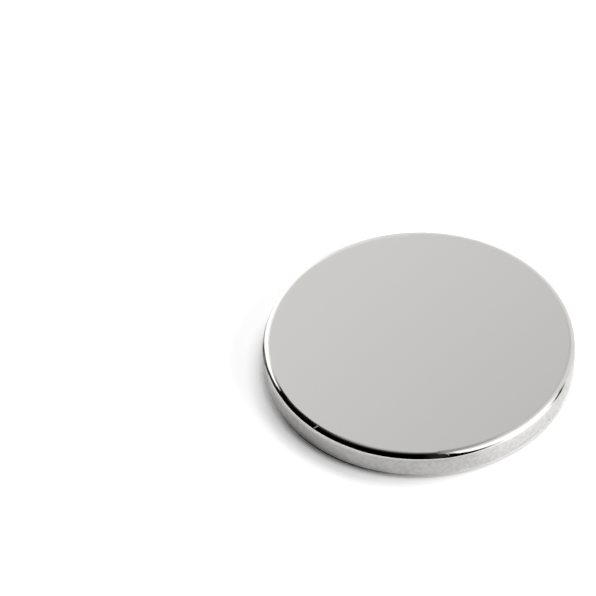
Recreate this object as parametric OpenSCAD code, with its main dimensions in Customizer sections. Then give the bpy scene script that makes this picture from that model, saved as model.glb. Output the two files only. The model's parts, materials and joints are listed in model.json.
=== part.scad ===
// Disc magnet
//
// A flat round sintered magnet, plated all over, so it is one solid: a turned
// section whose two outer corners are rounded, as tumbling before the plating
// leaves them. The faces are flat and the side wall is straight.
//
// The origin is the middle of the bottom face. +Z is the axis of the disc and
// the way that it is magnetised.

/* [Disc] */
// Diameter over the side wall
disc_d = 30; // [10:0.5:60]
// Thickness from the bottom face to the top face
disc_h = 3; // [2.5:0.25:10]

/* [Rounded edges] */
// Radius of the edge round the top face
top_edge_r = 0.6; // [0.1:0.05:1.2]
// Radius of the edge round the bottom face
bottom_edge_r = 0.6; // [0.1:0.05:1.2]

/* [Hidden] */

// Sides of a full circle where the shape is shown as flats
$fn = 180;

// Half of the diameter, from the axis to the side wall
disc_r = disc_d / 2;

// What the rounding takes off, drawn about the centre of the arc: all that
// lies outside the quarter circle, out past the corner and clear of it
module corner_waste(edge_r) {
    clear = edge_r;
    difference() {
        square(edge_r + clear);
        circle(edge_r);
    }
}

// Half of the section, on the +X side of the axis
module half_section() {
    difference() {
        square([disc_r, disc_h]);
        translate([disc_r - top_edge_r, disc_h - top_edge_r])
            corner_waste(top_edge_r);
        translate([disc_r - bottom_edge_r, bottom_edge_r])
            mirror([0, 1])
                corner_waste(bottom_edge_r);
    }
}

// The whole magnet: the half section turned about the axis
module disc_magnet() {
    color("silver")
        rotate_extrude()
            half_section();
}

disc_magnet();
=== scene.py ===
import json
import math

import bpy
from mathutils import Matrix, Vector


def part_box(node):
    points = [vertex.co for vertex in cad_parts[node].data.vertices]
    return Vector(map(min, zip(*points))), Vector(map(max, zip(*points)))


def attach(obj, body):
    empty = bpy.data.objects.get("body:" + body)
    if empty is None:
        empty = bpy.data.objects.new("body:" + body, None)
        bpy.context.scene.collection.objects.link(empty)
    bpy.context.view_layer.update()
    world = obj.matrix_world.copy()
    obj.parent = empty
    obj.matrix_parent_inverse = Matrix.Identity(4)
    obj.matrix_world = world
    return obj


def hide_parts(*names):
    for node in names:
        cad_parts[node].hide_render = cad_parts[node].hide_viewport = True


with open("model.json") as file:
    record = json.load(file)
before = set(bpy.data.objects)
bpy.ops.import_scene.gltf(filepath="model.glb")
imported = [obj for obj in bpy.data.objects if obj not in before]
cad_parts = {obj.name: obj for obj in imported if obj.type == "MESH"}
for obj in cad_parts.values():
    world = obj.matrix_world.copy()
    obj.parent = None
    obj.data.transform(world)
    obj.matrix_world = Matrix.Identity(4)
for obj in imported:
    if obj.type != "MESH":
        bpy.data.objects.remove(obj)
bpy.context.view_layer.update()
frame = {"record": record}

node = "disc_magnet"
low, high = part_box(node)
rim = next(m for m in frame["record"]["mounts"] if m["name"] == "rim")["dims"]
mm = 0.001

# sizes that the magnet, the floor and the cards are worked out from, all read from the frame
discR = rim["r_mm"] * mm
discH = high.z - low.z
edgeR = (discH - rim["length_mm"] * mm) / 2    # radius of both rounded edges
arcR = discR - edgeR                           # where the flat face ends and the rounding starts
print(f"disc {2000 * discR:.1f} mm across, {1000 * discH:.1f} mm thick, edges {1000 * edgeR:.2f} mm")


def around(turn, radius, z):
    # a point round the axis: turn is in degrees, clockwise from +Y as seen from above
    a = math.radians(turn)
    return Vector((radius * math.sin(a), radius * math.cos(a), z))


def smooth(x):
    x = min(1.0, max(0.0, x))
    return x * x * (3 - 2 * x)


def between(stations, at):
    # the values that go with a place, eased from each station to the next
    at = min(stations[-1][0], max(stations[0][0], at))
    for (t0, *before), (t1, *after) in zip(stations, stations[1:]):
        if t0 <= at <= t1:
            share = smooth((at - t0) / (t1 - t0))
            return [b + (a - b) * share for b, a in zip(before, after)]


class Wire:
    # a node's output socket; an operator on it adds a Math node
    def __init__(self, bench, socket):
        self.bench = bench
        self.socket = socket

    def __add__(self, other):
        return self.bench.math("ADD", self, other)

    def __radd__(self, other):
        return self.bench.math("ADD", other, self)

    def __sub__(self, other):
        return self.bench.math("SUBTRACT", self, other)

    def __rsub__(self, other):
        return self.bench.math("SUBTRACT", other, self)

    def __mul__(self, other):
        return self.bench.math("MULTIPLY", self, other)

    def __rmul__(self, other):
        return self.bench.math("MULTIPLY", other, self)

    def __truediv__(self, other):
        return self.bench.math("DIVIDE", self, other)

    def __rtruediv__(self, other):
        return self.bench.math("DIVIDE", other, self)

    def __pow__(self, other):
        return self.bench.math("POWER", self, other)

    def __rpow__(self, other):
        return self.bench.math("POWER", other, self)


class Bench:
    # one material's or world's node tree
    def __init__(self, owner):
        owner.use_nodes = True
        self.tree = owner.node_tree
        self.tree.nodes.clear()

    def plug(self, value, socket):
        if isinstance(value, Wire):
            self.tree.links.new(value.socket, socket)
        else:
            socket.default_value = value

    def add(self, kind, settings=None, inputs=None, output=0):
        made = self.tree.nodes.new(kind)
        for name, value in (settings or {}).items():
            setattr(made, name, value)
        for name, value in (inputs or {}).items():
            self.plug(value, made.inputs[name])
        return Wire(self, made.outputs[output]) if made.outputs else made

    def math(self, operation, *values):
        return self.add("ShaderNodeMath", {"operation": operation}, dict(enumerate(values)))

    def mix(self, factor, first, second):
        # colours: the first where factor is 0, the second where it is 1
        return self.add("ShaderNodeMix", {"data_type": "RGBA"}, {0: factor, 6: first, 7: second}, 2)

    def ease(self, value, start, end):
        # 0 up to start, 1 from end on, and a smooth step between them; start may be above end
        return self.add("ShaderNodeMapRange", {"interpolation_type": "SMOOTHSTEP"},
                        {"Value": value, "From Min": start, "From Max": end})


def seenInGloss(bench):
    # 1 for what the camera sees, straight or in metal or glass, and 0 for what lights the floor
    path = "ShaderNodeLightPath"
    direct = bench.add(path, output="Is Camera Ray")
    glossy = bench.add(path, output="Is Glossy Ray")
    through = bench.add(path, output="Is Transmission Ray")
    scattered = bench.math("MINIMUM", bench.add(path, output="Diffuse Depth"), 1.0)
    return bench.math("MINIMUM", direct + glossy + through, 1.0) * (1.0 - scattered)


magnetLook = {
    "turnSteps": (5, 1),   # tenths of a degree from one step round the axis to the next, and close to a mark
    "markMargin": 1.3,     # degrees either side of a nick or pit in which the steps are close
    "arcSteps": 30,        # steps across each rounded edge
    "faceRings": (0.0, 0.25, 0.5, 0.72, 0.88, 0.96, 0.99, 0.997),   # shares of the flat face's radius
    "wallRows": 26,        # rows up the straight side wall
}

nickLook = {
    # each nick in the top edge: its path as turns, and as degrees from the face over the rounding,
    # then its half width, and how far its metal is laid bare
    "nicks": ((((224.0, 9), (224.2, 25), (224.8, 48)), 0.09 * mm, 0.5),
              (((172.7, 26), (172.7, 34)), 0.07 * mm, 1.0),
              (((172.4, 44), (172.3, 50)), 0.05 * mm, 0.7)),
    "steepness": 0.5,      # depth as a share of the half width
}

pitLook = {
    # small pits in the side wall: turn, height and radius
    "pits": ((127.8, 0.9 * mm, 0.15 * mm), (129.0, 1.7 * mm, 0.1 * mm), (114.2, 2.05 * mm, 0.14 * mm),
             (113.2, 1.45 * mm, 0.12 * mm), (169.8, 1.1 * mm, 0.08 * mm), (162.0, 0.9 * mm, 0.07 * mm),
             (159.2, 1.8 * mm, 0.08 * mm), (239.5, 1.5 * mm, 0.11 * mm)),
    "steepness": 0.3,      # depth as a share of the radius
}

platingLook = {
    "nickel": (0.62, 0.613, 0.6, 1),
    "satinNickel": (0.47, 0.465, 0.456, 1),   # darker patches of the side wall: satin, and darker than the face's nickel partly as painted shade
    "paleSatin": (0.535, 0.53, 0.52, 1),      # paler patches, also darker than the face's nickel partly as painted shade
    "bareMetal": (0.5, 0.495, 0.485, 1),      # in the nicks
    "pitMetal": (0.29, 0.285, 0.275, 1),      # in the pits
    "faceRoughness": 0.13,
    "edgeRoughness": 0.07,
    "wallRoughness": 0.34,
    "wallSpread": 0.12,          # how much the wall's roughness varies
    "bareRoughness": 0.6,
    "bareMetallic": 0.2,
    "mottleScale": 2400.0,
    "mottleDetail": 3.0,
    "cloudScale": 700.0,
    "cloudDetail": 2.0,
    "cloudShare": 0.5,           # how far the larger clouds shift the mottle
    "patchEnds": (0.38, 0.62),   # noise between which the satin goes from darker to paler
    "wallEnds": (0.14, 0.04),    # upward part of the normal between which the polish turns to satin, and to the wall's darker colour that is partly painted shade
    "faceEnds": (0.97, 0.999),   # and between which the edge's polish turns to the face's
}


def turnList(look, near):
    # turns round the axis, closer together by the turns in near
    coarse, fine = look["turnSteps"]
    found = []
    tenths = 0
    while tenths < 360 * 10:
        found.append(tenths / 10)
        close = any(abs(tenths / 10 - turn) < look["markMargin"] for turn in near)
        tenths += fine if close else coarse
    return found


def profile(look):
    # half section from the top face's middle, out over the edge, down the wall and in to the bottom's middle
    steps = look["arcSteps"]
    rows = look["wallRows"]
    top = [(share * arcR, discH) for share in look["faceRings"]]
    for i in range(steps + 1):
        a = math.radians(90 * i / steps)
        top.append((arcR + edgeR * math.sin(a), discH - edgeR + edgeR * math.cos(a)))
    wall = [(discR, discH - edgeR - (discH - 2 * edgeR) * i / rows) for i in range(1, rows)]
    bottom = [(r, discH - z) for r, z in reversed(top)]
    return top + wall + bottom


def turned(name, outline, turns):
    # a closed solid turned from an outline whose first and last points lie on the axis
    verts = [Vector((0, 0, outline[0][1]))]
    for r, z in outline[1:-1]:
        verts += [around(t, r, z) for t in turns]
    verts.append(Vector((0, 0, outline[-1][1])))
    n = len(turns)
    last = len(verts) - 1
    faces = []
    for j in range(n):
        k = (j + 1) % n
        faces.append((0, 1 + k, 1 + j))
        faces.append((last, last - n + j, last - n + k))
        for i in range(len(outline) - 3):
            a = 1 + i * n
            b = a + n
            faces.append((a + j, a + k, b + k, b + j))
    mesh = bpy.data.meshes.new(name)
    mesh.from_pydata(verts, [], faces)
    mesh.shade_smooth()
    made = bpy.data.objects.new(name, mesh)
    bpy.context.scene.collection.objects.link(made)
    return made


def closeTo(middle, ring, turns):
    # the turns by a mark, each with the index of its vertex on that ring of the outline
    return [(turn, 1 + (ring - 1) * len(turns) + j) for j, turn in enumerate(turns)
            if abs(turn - middle) <= magnetLook["markMargin"]]


def fromPath(path, turn, tilt):
    # how far a place on the top edge lies from a nick's path, measured over the surface
    place = Vector((math.radians(turn) * discR, math.radians(tilt) * edgeR))
    corners = [Vector((math.radians(t) * discR, math.radians(p) * edgeR)) for t, p in path]
    found = []
    for start, end in zip(corners, corners[1:]):
        along = end - start
        share = min(1.0, max(0.0, (place - start).dot(along) / along.length_squared))
        found.append((place - start - along * share).length)
    return min(found)


def cutNicks(made, outline, turns):
    # presses the nicks into the top edge, and marks where the plating is worn off
    worn = made.data.attributes.new("worn", "FLOAT", "POINT")
    for path, halfWidth, bareness in nickLook["nicks"]:
        for i, (r, z) in enumerate(outline):
            if r < arcR - halfWidth or z < discH - edgeR:
                continue
            tilt = math.degrees(math.atan2(r - arcR, z - discH + edgeR))
            for turn, index in closeTo(path[0][0], i, turns):
                share = max(0.0, 1 - fromPath(path, turn, tilt) / halfWidth)
                outward = around(turn, math.sin(math.radians(tilt)), math.cos(math.radians(tilt)))
                made.data.vertices[index].co -= outward * share * halfWidth * nickLook["steepness"]
                # bare right across, but for the outer half of each side, where it fades
                worn.data[index].value = max(worn.data[index].value, bareness * smooth(2 * share))


def sinkPits(made, outline, turns):
    # presses the pits into the side wall, and marks them
    pitted = made.data.attributes.new("pitted", "FLOAT", "POINT")
    for middle, height, size in pitLook["pits"]:
        for i, (r, z) in enumerate(outline):
            if r < discR or abs(z - height) > size:
                continue
            for turn, index in closeTo(middle, i, turns):
                across = math.radians(turn - middle) * discR
                share = max(0.0, 1 - math.hypot(across, z - height) / size)
                depth = smooth(share) * size * pitLook["steepness"]
                made.data.vertices[index].co -= around(turn, 1, 0) * depth
                pitted.data[index].value = max(pitted.data[index].value, smooth(2 * share))


def nickelPlating(look):
    # bright on the faces and the rounded edges, mottled satin on the wall and darker there partly as painted
    # shade, dull in the nicks and darker in the pits
    finish = bpy.data.materials.new("nickelPlating")
    bench = Bench(finish)
    place = bench.add("ShaderNodeTexCoord", output="Object")
    mottle = bench.add("ShaderNodeTexNoise", {}, {
        "Vector": place, "Scale": look["mottleScale"], "Detail": look["mottleDetail"]})
    clouds = bench.add("ShaderNodeTexNoise", {}, {
        "Vector": place, "Scale": look["cloudScale"], "Detail": look["cloudDetail"]})
    normal = bench.add("ShaderNodeNewGeometry", output="Normal")
    upward = bench.math("ABSOLUTE", bench.add("ShaderNodeSeparateXYZ", {}, {"Vector": normal}, "Z"))
    wall = bench.ease(upward, *look["wallEnds"])
    face = bench.ease(upward, *look["faceEnds"])
    polished = look["edgeRoughness"] + (look["faceRoughness"] - look["edgeRoughness"]) * face
    satin = look["wallRoughness"] + (mottle - 0.5) * look["wallSpread"]
    patches = bench.ease((clouds - 0.5) * look["cloudShare"] + mottle, *look["patchEnds"])
    # the wall's colour: random satin patches, all darker than the face's nickel partly as painted shade
    wallSatinAndShade = bench.mix(patches, look["satinNickel"], look["paleSatin"])
    pitted = bench.add("ShaderNodeAttribute", {"attribute_name": "pitted"}, {}, "Fac")
    bare = bench.add("ShaderNodeAttribute", {"attribute_name": "worn"}, {}, "Fac")
    whole = bench.mix(pitted, bench.mix(wall, look["nickel"], wallSatinAndShade), look["pitMetal"])
    roughness = polished + (satin - polished) * wall
    bsdf = bench.add("ShaderNodeBsdfPrincipled", {}, {
        "Base Color": bench.mix(bare, whole, look["bareMetal"]),
        "Metallic": 1.0 - (1.0 - look["bareMetallic"]) * bare,
        "Roughness": roughness + (look["bareRoughness"] - roughness) * bare})
    bench.add("ShaderNodeOutputMaterial", {}, {"Surface": bsdf})
    return finish


markTurns = [path[0][0] for path, _, _ in nickLook["nicks"]] + [pit[0] for pit in pitLook["pits"]]
turns = turnList(magnetLook, markTurns)
outline = profile(magnetLook)
magnet = turned("platedDisc", outline, turns)
cutNicks(magnet, outline, turns)
sinkPits(magnet, outline, turns)
magnet.data.materials.append(nickelPlating(platingLook))
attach(magnet, "root")
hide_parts(node)
print("magnet made")


floorLook = {
    "halfSide": 1.2,
    "paint": (0.94, 0.94, 0.94, 1),
    # the floor's paint and glow as mirrors see them, darker than the camera sees them: painted shade in the
    # floor's reflection on the magnet
    "paintInMirrors": (0.8, 0.8, 0.8, 1),
    "lift": 0.21,             # glow painted on the floor, which brings it to white; it is held back near the magnet, where the real contact shadow stays and its shape is partly painted
    "liftInMirrors": 0.03,
    "liftFrom": (discR + 0.65 * mm, discR + 2.0 * mm),   # radii between which the lift sets in
    "shadeMiddle": 234,       # the turn where the painted contact shade is deepest, with the glow held back furthest out
    "shadeEnds": (0.2, 0.9),  # cosines of the turns from there between which the painted shade sets in
    "litCloser": (0.9 * mm, 1.5 * mm),    # how much closer the glow starts and ends outside the painted shade
}


def whiteFloor(look):
    finish = bpy.data.materials.new("whiteFloor")
    bench = Bench(finish)
    mirrored = bench.add("ShaderNodeLightPath", output="Is Glossy Ray")
    # darker paint for mirrors: painted shade in the floor's reflection
    paint = bench.add("ShaderNodeBsdfDiffuse", {}, {
        "Color": bench.mix(mirrored, look["paint"], look["paintInMirrors"])})
    place = bench.add("ShaderNodeNewGeometry", output="Position")
    flat = bench.add("ShaderNodeVectorMath", {"operation": "MULTIPLY"}, {0: place, 1: (1, 1, 0)})
    radius = bench.add("ShaderNodeVectorMath", {"operation": "LENGTH"}, {0: flat}, "Value")
    side = around(look["shadeMiddle"], 1, 0)
    facing = bench.add("ShaderNodeVectorMath", {"operation": "DOT_PRODUCT"}, {0: flat, 1: side}, "Value")
    # 1 away from the lobe round shadeMiddle and 0 in it: the mask of the painted contact shade
    lit = 1.0 - bench.ease(facing / radius, *look["shadeEnds"])
    start, end = look["liftFrom"]
    startCloser, endCloser = look["litCloser"]
    # out of the painted shade the start moves in first and the end follows, which makes the painted shade's
    # sides soft
    away = bench.ease(radius, start - lit ** 0.5 * startCloser, end - lit ** 2 * endCloser)
    lift = look["lift"] + (look["liftInMirrors"] - look["lift"]) * mirrored
    # the glow is held back near the magnet, most round shadeMiddle: painted contact shade on the floor
    glow = bench.add("ShaderNodeEmission", {}, {"Strength": seenInGloss(bench) * lift * away})
    both = bench.add("ShaderNodeAddShader", {}, {0: paint, 1: glow})
    bench.add("ShaderNodeOutputMaterial", {}, {"Surface": both})
    return finish


def layFloor(look):
    half = look["halfSide"]
    mesh = bpy.data.meshes.new("floor")
    mesh.from_pydata([(-half, -half, 0), (half, -half, 0), (half, half, 0), (-half, half, 0)],
                     [], [(0, 1, 2, 3)])
    mesh.materials.append(whiteFloor(look))
    made = bpy.data.objects.new("floor", mesh)
    bpy.context.scene.collection.objects.link(made)


layFloor(floorLook)


cardBounce = 0.9    # share of a card's glow that metal throws on to the floor


def glowCard(name, grid):
    # a bent card that only metal mirrors: the floor itself neither sees it nor is shaded by it.
    # grid is rows of points, each with how strongly the card glows there
    verts = [point for row in grid for point, _ in row]
    n = len(grid[0])
    faces = [(i * n + j, i * n + j + 1, (i + 1) * n + j + 1, (i + 1) * n + j)
             for i in range(len(grid) - 1) for j in range(n - 1)]
    mesh = bpy.data.meshes.new(name)
    mesh.from_pydata(verts, [], faces)
    levels = mesh.attributes.new("glow", "FLOAT", "POINT")
    levels.data.foreach_set("value", [level for row in grid for _, level in row])
    finish = bpy.data.materials.new(name)
    bench = Bench(finish)
    level = bench.add("ShaderNodeAttribute", {"attribute_name": "glow"}, {}, "Fac")
    glow = bench.add("ShaderNodeEmission", {}, {
        "Strength": level * (cardBounce + (1 - cardBounce) * seenInGloss(bench))})
    bench.add("ShaderNodeOutputMaterial", {}, {"Surface": glow})
    mesh.materials.append(finish)
    made = bpy.data.objects.new(name, mesh)
    bpy.context.scene.collection.objects.link(made)
    made.visible_camera = False
    made.visible_diffuse = False
    made.visible_shadow = False
    made.visible_transmission = False
    made.visible_volume_scatter = False


greyCard = {
    "azimuths": (-70, 80),
    "elevations": (1, 80),
    "steps": 60,
    "distance": 0.62,
    "middle": (2.4, 47.2, 0.9),      # azimuth and elevation that the face mirrors, and the glow there
    "perDegree": (-0.0123, -0.022),  # how the glow changes to the right and upwards
    "least": 0.78,
    "most": 1.0,
    "rise": (32, 66, 0.23),          # azimuths between which the glow rises again, and by how much
    "horizon": ((-10, 1.25), (15, 1.15), (38, 1.05)),   # azimuth, and the glow at the bottom there
    "horizonEnds": (22, 38),         # elevations between which it gives way to the rest
}


def skyPoint(azimuth, elevation, distance):
    # azimuth in degrees clockwise from +Y, seen from the frame's origin
    a = math.radians(azimuth)
    e = math.radians(elevation)
    return Vector((math.sin(a) * math.cos(e), math.cos(a) * math.cos(e), math.sin(e))) * distance


def greyGlow(look, azimuth, elevation):
    a, e, glow = look["middle"]
    glow += (azimuth - a) * look["perDegree"][0] + (elevation - e) * look["perDegree"][1]
    glow = min(look["most"], max(look["least"], glow))
    left, right, more = look["rise"]
    glow += more * smooth((azimuth - left) / (right - left))
    start, end = look["horizonEnds"]
    share = smooth((elevation - start) / (end - start))
    return between(look["horizon"], azimuth)[0] * (1 - share) + glow * share


def skyCard(name, look, glowAt):
    # a curved card that covers a stretch of the room round the magnet
    left, right = look["azimuths"]
    bottom, top = look["elevations"]
    steps = look["steps"]
    grid = []
    for i in range(steps + 1):
        e = bottom + (top - bottom) * i / steps
        row = []
        for j in range(steps + 1):
            a = left + (right - left) * j / steps
            row.append((skyPoint(a, e, look["distance"]), glowAt(look, a, e)))
        grid.append(row)
    glowCard(name, grid)


skyCard("greyCard", greyCard, greyGlow)


stripGrid = {
    "step": 1.0,    # degrees round the rim from one column of points to the next
    "rows": 24,     # rows across a card
    "fade": 2.5,    # above 1, the glow changes slowly at first
}

rimCards = {
    # narrow cards bent round the magnet. each has its reach from the middle of the top edge's rounding,
    # and the share of its width, next to the upper edge, over which its glow changes.
    # each station is a turn round the rim, then the lower and the upper edge as tilts above the floor,
    # then the glow at each
    "blackFlag": {
        "reach": 1.2 * mm,
        "soft": 0.44,
        "stations": (
            (150, 4, 16, 1.3, 1.3), (153, 2, 18, 1.0, 1.0), (156, 0, 20, 0.6, 0.6), (159, 0, 21, 0.1, 0.1),
            (163, -1, 26, 0, 0), (167, -2, 36, 0, 0), (171, -2, 54, 0, 0.05), (173, -1, 62, 0.02, 0.3),
            (175, 2, 104, 0.03, 0.9), (177, 5, 114, 0.02, 1.0), (182, 9, 117, 0, 0.95),
            (190, 12, 118, 0, 0.9), (202, 15, 118, 0, 0.9), (212, 21, 114, 0, 0.55), (222, 23, 109, 0, 0.15),
            (232, 25, 106, 0, 0.03), (241, 26, 102, 0, 0.12), (246, 27, 101, 0, 0.12), (248, 26, 73, 0, 0),
            (250, 24, 66, 0, 0), (253, 20, 57, 0.03, 0.04), (258, 16, 50, 0.04, 0.05),
            (263, 2, 40, 0.08, 0.1), (268, -22, 37, 0.25, 0.25), (273, -40, 26, 0.12, 0.12),
            (278, -40, 18, 0.45, 0.45), (283, -40, 16, 0.7, 0.7), (294, -40, 14, 1.15, 1.15)),
    },
    "rightHemFlag": {
        "reach": 1.164 * mm,
        "soft": 0.35,
        "stations": (
            (138, 100, 108, 0.85, 0.9), (146, 92, 110, 0.75, 0.85), (155, 81, 112, 0.6, 0.8),
            (165, 77, 114, 0.5, 0.8), (169, 76, 115, 0.48, 0.8), (172, 68, 115, 0.45, 0.8),
            (174, 64, 115, 0.4, 0.8), (176, 66, 115, 0.22, 0.8)),
    },
    "leftHairFlag": {
        "reach": 1.164 * mm,
        "soft": 0.0,
        "stations": (
            (244, 68, 99, 0, 0), (248, 70, 99, 0, 0), (250, 75, 99, 0.1, 0.1), (252, 77, 98, 0.3, 0.3),
            (255, 76, 97, 0.5, 0.5), (258, 78, 98, 0.85, 0.85), (263, 86, 98, 1.0, 1.0),
            (268, 92, 98, 1.15, 1.15)),
    },
    "darkStreakFlag": {
        "reach": 1.2 * mm,
        "soft": 0.5,
        "stations": (
            (112, -1, 10, 0.6, 0.6), (114, -10, 18, 0.45, 0.5), (117, -13, 23, 0.08, 0.1),
            (120, -13, 15, 0.1, 0.1), (123, -6, 6, 0.25, 0.25), (125, -1, 3, 0.8, 0.8)),
    },
    "rightRimCard": {
        "reach": 1.38 * mm,
        "soft": 0.15,
        "stations": (
            (118, -10, 40, 1.15, 1.1), (122, -22, 51, 1.35, 1.15), (125, -32, 54, 1.55, 1.2),
            (128, -38, 55, 1.65, 1.2), (135, -40, 57, 1.7, 1.2), (142, -40, 60, 1.7, 1.3),
            (147, -33, 62, 1.7, 1.4), (154, 14, 61, 1.7, 1.5), (162, 16, 62, 1.7, 1.5),
            (169, 30, 65, 1.6, 1.5), (172, 45, 62, 1.0, 1.0)),
    },
    "leftRimCard": {
        "reach": 1.38 * mm,
        "soft": 0.3,
        "stations": (
            (246, 40, 92, 0.1, 0.1), (248, 40, 92, 1.1, 0.8), (250, 40, 92, 1.2, 0.8),
            (253, 36, 93, 1.7, 1.0), (262, 32, 94, 1.7, 1.0), (270, 20, 93, 1.7, 1.0),
            (278, 8, 90, 1.7, 1.0), (288, -5, 86, 1.7, 1.0), (300, -8, 79, 1.7, 1.0),
            (315, -5, 73, 1.6, 1.0), (335, 0, 72, 1.25, 1.0), (360, 10, 70, 1.1, 1.0)),
    },
}


def rimStrip(name, look):
    stations, reach, soft = look["stations"], look["reach"], look["soft"]
    rows = stripGrid["rows"]
    first, last = stations[0][0], stations[-1][0]
    grid = []
    for j in range(round((last - first) / stripGrid["step"]) + 1):
        turn = first + j * stripGrid["step"]
        bottom, top, glowBottom, glowTop = between(stations, turn)
        row = []
        for i in range(rows + 1):
            tilt = math.radians(bottom + (top - bottom) * i / rows)
            share = max(0.0, (i / rows - 1 + soft) / soft) ** stripGrid["fade"] if soft else 0.0
            point = around(turn, arcR + reach * math.cos(tilt), discH - edgeR + reach * math.sin(tilt))
            row.append((point, glowBottom + (glowTop - glowBottom) * share))
        grid.append(row)
    glowCard(name, grid)


for name, look in rimCards.items():
    rimStrip(name, look)


apronCard = {
    "height": 0.01 * mm,
    "step": 2.0,    # degrees round the rim from one row of points to the next
    "rows": 24,     # points outwards, closer together by the magnet
    "radii": (arcR + 0.02 * mm, discR + 0.05 * mm, discR + 0.6 * mm, discR + 0.75 * mm,
              discR + 1.2 * mm, discR + 2.2 * mm, discR + 4.5 * mm, discR + 9 * mm),
    # the low glow by the magnet from turn 190 to 250 is painted contact shade in the wall's reflection
    # turn, then the glow at each of those radii
    "stations": ((92, 1.1, 1.8, 1.35, 1.25, 1.15, 1.15, 1.15, 1.1),
                 (104, 1.1, 1.8, 1.3, 1.25, 1.2, 1.2, 1.2, 1.1),
                 (113, 1.15, 1.6, 1.3, 1.25, 1.22, 1.2, 1.2, 1.2),
                 (122, 1.15, 1.2, 1.4, 1.42, 1.43, 1.5, 1.48, 1.6),
                 (148, 1.15, 1.2, 1.4, 1.45, 1.42, 1.45, 1.48, 1.6),
                 (165, 1, 1, 1.15, 1.15, 1.05, 1.08, 1.1, 1.1),
                 (172, 0.85, 0.8, 1, 1.05, 1, 0.98, 1, 1),
                 (180, 0.6, 0.6, 0.9, 0.98, 0.95, 0.92, 0.9, 0.9),
                 (190, 0.3, 0.3, 0.7, 0.88, 0.87, 0.88, 0.88, 0.88),
                 (200, 0.1, 0.1, 0.45, 0.7, 0.8, 0.88, 0.88, 0.8),
                 (210, 0, 0, 0.32, 0.52, 0.74, 0.9, 0.9, 0.7),
                 (220, 0, 0, 0.18, 0.38, 0.63, 0.93, 0.85, 0.62),
                 (230, 0, 0, 0.1, 0.3, 0.6, 0.87, 0.8, 0.6),
                 (240, 0.06, 0.08, 0.2, 0.4, 0.57, 0.76, 0.7, 0.55),
                 (250, 0.3, 0.3, 0.4, 0.52, 0.62, 0.8, 0.7, 0.5),
                 (262, 0.5, 0.5, 0.5, 0.6, 0.75, 0.85, 0.75, 0.6)),
}


def apron(name, look):
    # a card that lies on the floor from under the bottom edge outwards, for the wall and that edge to
    # mirror: its glow paints the floor's reflection there, with painted contact shade
    first, last = look["stations"][0][0], look["stations"][-1][0]
    inner, outer = look["radii"][0], look["radii"][-1]
    grid = []
    for j in range(round((last - first) / look["step"]) + 1):
        turn = first + j * look["step"]
        levels = list(zip(look["radii"], between(look["stations"], turn)))
        row = []
        for i in range(look["rows"] + 1):
            radius = inner + (outer - inner) * (i / look["rows"]) ** 2
            row.append((around(turn, radius, look["height"]), between(levels, radius)[0]))
        grid.append(row)
    glowCard(name, grid)


apron("apronCard", apronCard)


worldLook = {
    "seen": 1.0,        # white, for the camera and in mirrors
    "ambient": 0.17,    # what lights the floor
}


def paleRoom(look):
    world = bpy.data.worlds.new("paleRoom")
    bpy.context.scene.world = world
    bench = Bench(world)
    level = look["ambient"] + (look["seen"] - look["ambient"]) * seenInGloss(bench)
    sky = bench.add("ShaderNodeBackground", {}, {"Color": (1, 1, 1, 1), "Strength": level})
    bench.add("ShaderNodeOutputWorld", {}, {"Surface": sky})


paleRoom(worldLook)


highLamp = {
    "azimuth": 89,
    "elevation": 82,
    "distance": 1.0,
    "size": 0.3,
    "share": 0.3,    # how bright it makes a white floor, where 1 is as bright as the paint is written
}

softboxes = {
    # softboxes that stand on the table and face the magnet
    "backSoftbox": {"azimuth": -14, "width": 1.06, "height": 0.75, "distance": 1.0, "radiance": 5.4},
    "rightSoftbox": {"azimuth": 104, "width": 1.3, "height": 0.84, "distance": 1.0, "radiance": 6.8},
    "leftSoftbox": {"azimuth": -65, "width": 0.7, "height": 0.65, "distance": 1.0, "radiance": 1.2},
}


def placeLight(name, light, place, ahead):
    # sets a light at a place, shining ahead; mirrors and the camera don't see it
    made = bpy.data.objects.new(name, light)
    made.location = place
    made.rotation_euler = ahead.to_track_quat("-Z", "Y").to_euler()
    made.visible_glossy = False
    made.visible_camera = False
    bpy.context.scene.collection.objects.link(made)


def softLamp(name, azimuth, elevation, distance, size, share):
    light = bpy.data.lights.new(name, "AREA")
    light.shape = "DISK"
    light.size = size
    light.energy = share * (math.pi * distance) ** 2 / math.sin(math.radians(elevation))
    place = skyPoint(azimuth, elevation, distance)
    placeLight(name, light, place, -place)


def standingSoftbox(name, azimuth, width, height, distance, radiance):
    light = bpy.data.lights.new(name, "AREA")
    light.shape = "RECTANGLE"
    light.size = width
    light.size_y = height
    light.energy = radiance * math.pi * width * height
    place = skyPoint(azimuth, 0, distance) + Vector((0, 0, height / 2))
    placeLight(name, light, place, -skyPoint(azimuth, 0, 1))


softLamp("highLamp", **highLamp)
for name, look in softboxes.items():
    standingSoftbox(name, **look)
print("studio made")


cameraLook = {
    "aim": (-11.35 * mm, 9.31 * mm, 0),
    "distance": 373.2 * mm,
    "elevation": 45.93,
    "roll": -2.79,
    "lens": 229.5,
    "sensor": 36.0,
    "clip": (0.01, 10),
}


def makeCamera(look):
    data = bpy.data.cameras.new("camera")
    data.lens = look["lens"]
    data.sensor_width = look["sensor"]
    data.clip_start, data.clip_end = look["clip"]
    made = bpy.data.objects.new("camera", data)
    e = math.radians(look["elevation"])
    back = Vector((0, -math.cos(e), math.sin(e)))
    pitch = Matrix.Rotation(math.radians(90) - e, 4, "X")
    roll = Matrix.Rotation(math.radians(look["roll"]), 4, "Z")
    made.matrix_world = Matrix.Translation(Vector(look["aim"]) + back * look["distance"]) @ pitch @ roll
    bpy.context.scene.collection.objects.link(made)
    bpy.context.scene.camera = made


makeCamera(cameraLook)
bpy.context.scene.view_settings.view_transform = "Standard"
print("camera set")
